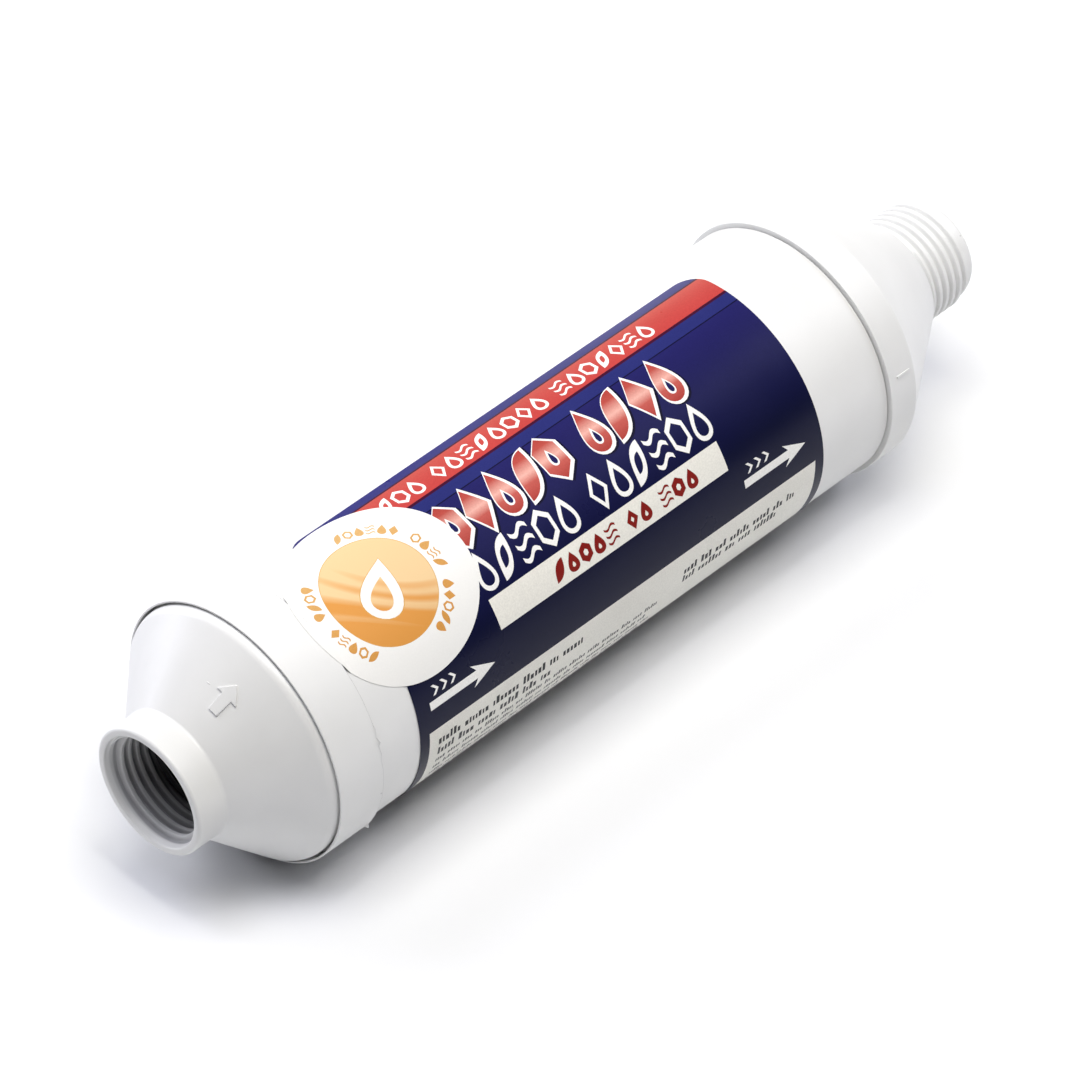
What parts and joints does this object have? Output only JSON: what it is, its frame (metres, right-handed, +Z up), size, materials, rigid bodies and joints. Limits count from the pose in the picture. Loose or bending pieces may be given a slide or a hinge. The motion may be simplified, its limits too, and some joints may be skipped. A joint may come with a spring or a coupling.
{
  "type": "inline water filter",
  "caption": "Inline hose water filter: a white tube of filter media with a female hose socket at the inlet cone and a male hose thread at the outlet.",
  "frame": {"origin": "midway along the filter, on the surface that it rests on when it lies on its side", "axes": "+X along the tube from the inlet to the outlet, the way the water flows; +Z up; the label's upper edge is near the top"},
  "size_m": [0.2474, 0.0642, 0.0642],
  "materials": {
    "white_plastic": "smooth moulded white plastic, satin gloss",
    "inner_plastic": "natural moulded plastic",
    "rubber": "black rubber",
    "steel_mesh": "woven stainless wire",
    "nylon_mesh": "fine woven nylon",
    "felt": "needled polyester felt",
    "copper_zinc": "fine copper-zinc granules",
    "carbon": "granular activated carbon",
    "label_film": "printed satin film, navy with red and cream",
    "sticker_film": "glossy white film with an orange disc"
  },
  "bodies": {
    "filter": {"housing_tube": "white_plastic", "inlet_cap": "white_plastic", "outlet_cap": "white_plastic", "inlet_diffuser": "inner_plastic", "inlet_screen_ring": "inner_plastic", "inlet_screen": "nylon_mesh", "inlet_felt_pad": "felt", "copper_zinc_bed": "copper_zinc", "separator_pad": "felt", "carbon_bed": "carbon", "outlet_felt_pad": "felt", "outlet_screen_ring": "inner_plastic", "outlet_screen": "nylon_mesh", "outlet_support_plate": "inner_plastic", "wrap_label": "label_film", "round_sticker": "sticker_film"},
    "washer": {"hose_washer": "rubber", "washer_screen": "steel_mesh"}
  },
  "joints": [
    {"name": "washer_pull", "type": "slide", "parent": "filter", "child": "washer", "axis": [-1, 0, 0], "range_m": [0, 0.035]}
  ]
}
